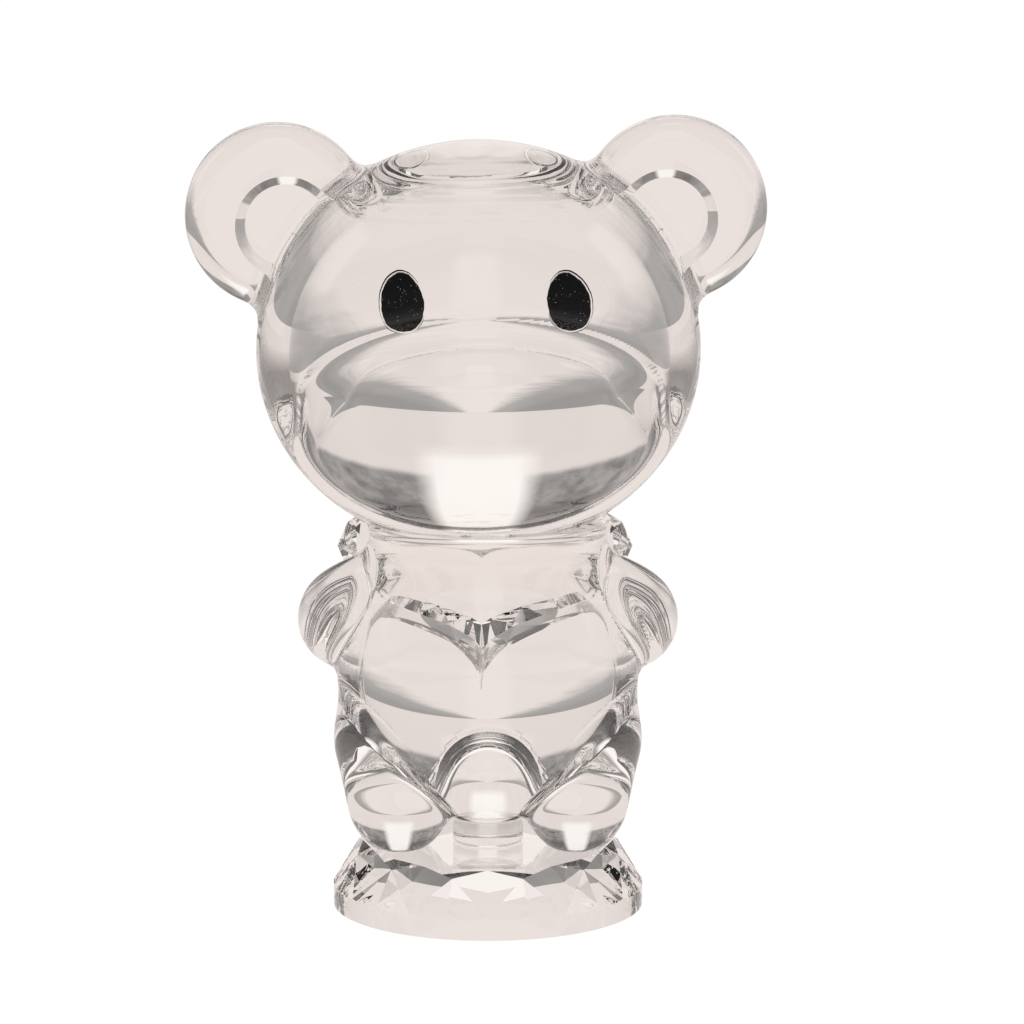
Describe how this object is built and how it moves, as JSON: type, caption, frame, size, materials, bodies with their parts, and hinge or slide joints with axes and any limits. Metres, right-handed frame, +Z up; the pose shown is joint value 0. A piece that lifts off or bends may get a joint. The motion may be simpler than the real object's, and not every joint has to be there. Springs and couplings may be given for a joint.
{
  "type": "crystal glass bear figurine",
  "caption": "Free-standing clear crystal bear on a faceted round disc, with enamel eyes, dished round ears and a faceted heart held behind its back.",
  "frame": {"origin": "centre of the faceted disc's underside, the face the figurine stands on", "axes": "+Z up, the bear faces -Y, +X towards the bear's left ear"},
  "size_m": [0.0832, 0.0564, 0.1151],
  "materials": {
    "crystal": "clear optical crystal, polished, faint warm grey",
    "black_enamel": "gloss black enamel with fine silvery specks"
  },
  "bodies": {
    "root": {"base_disc": "crystal", "body_spacer": "crystal", "right_leg": "crystal", "left_leg": "crystal", "torso": "crystal", "right_arm": "crystal", "left_arm": "crystal", "tail_ball": "crystal", "heart": "crystal", "head": "crystal", "right_ear": "crystal", "left_ear": "crystal", "right_eye": "black_enamel", "left_eye": "black_enamel"}
  },
  "joints": []
}
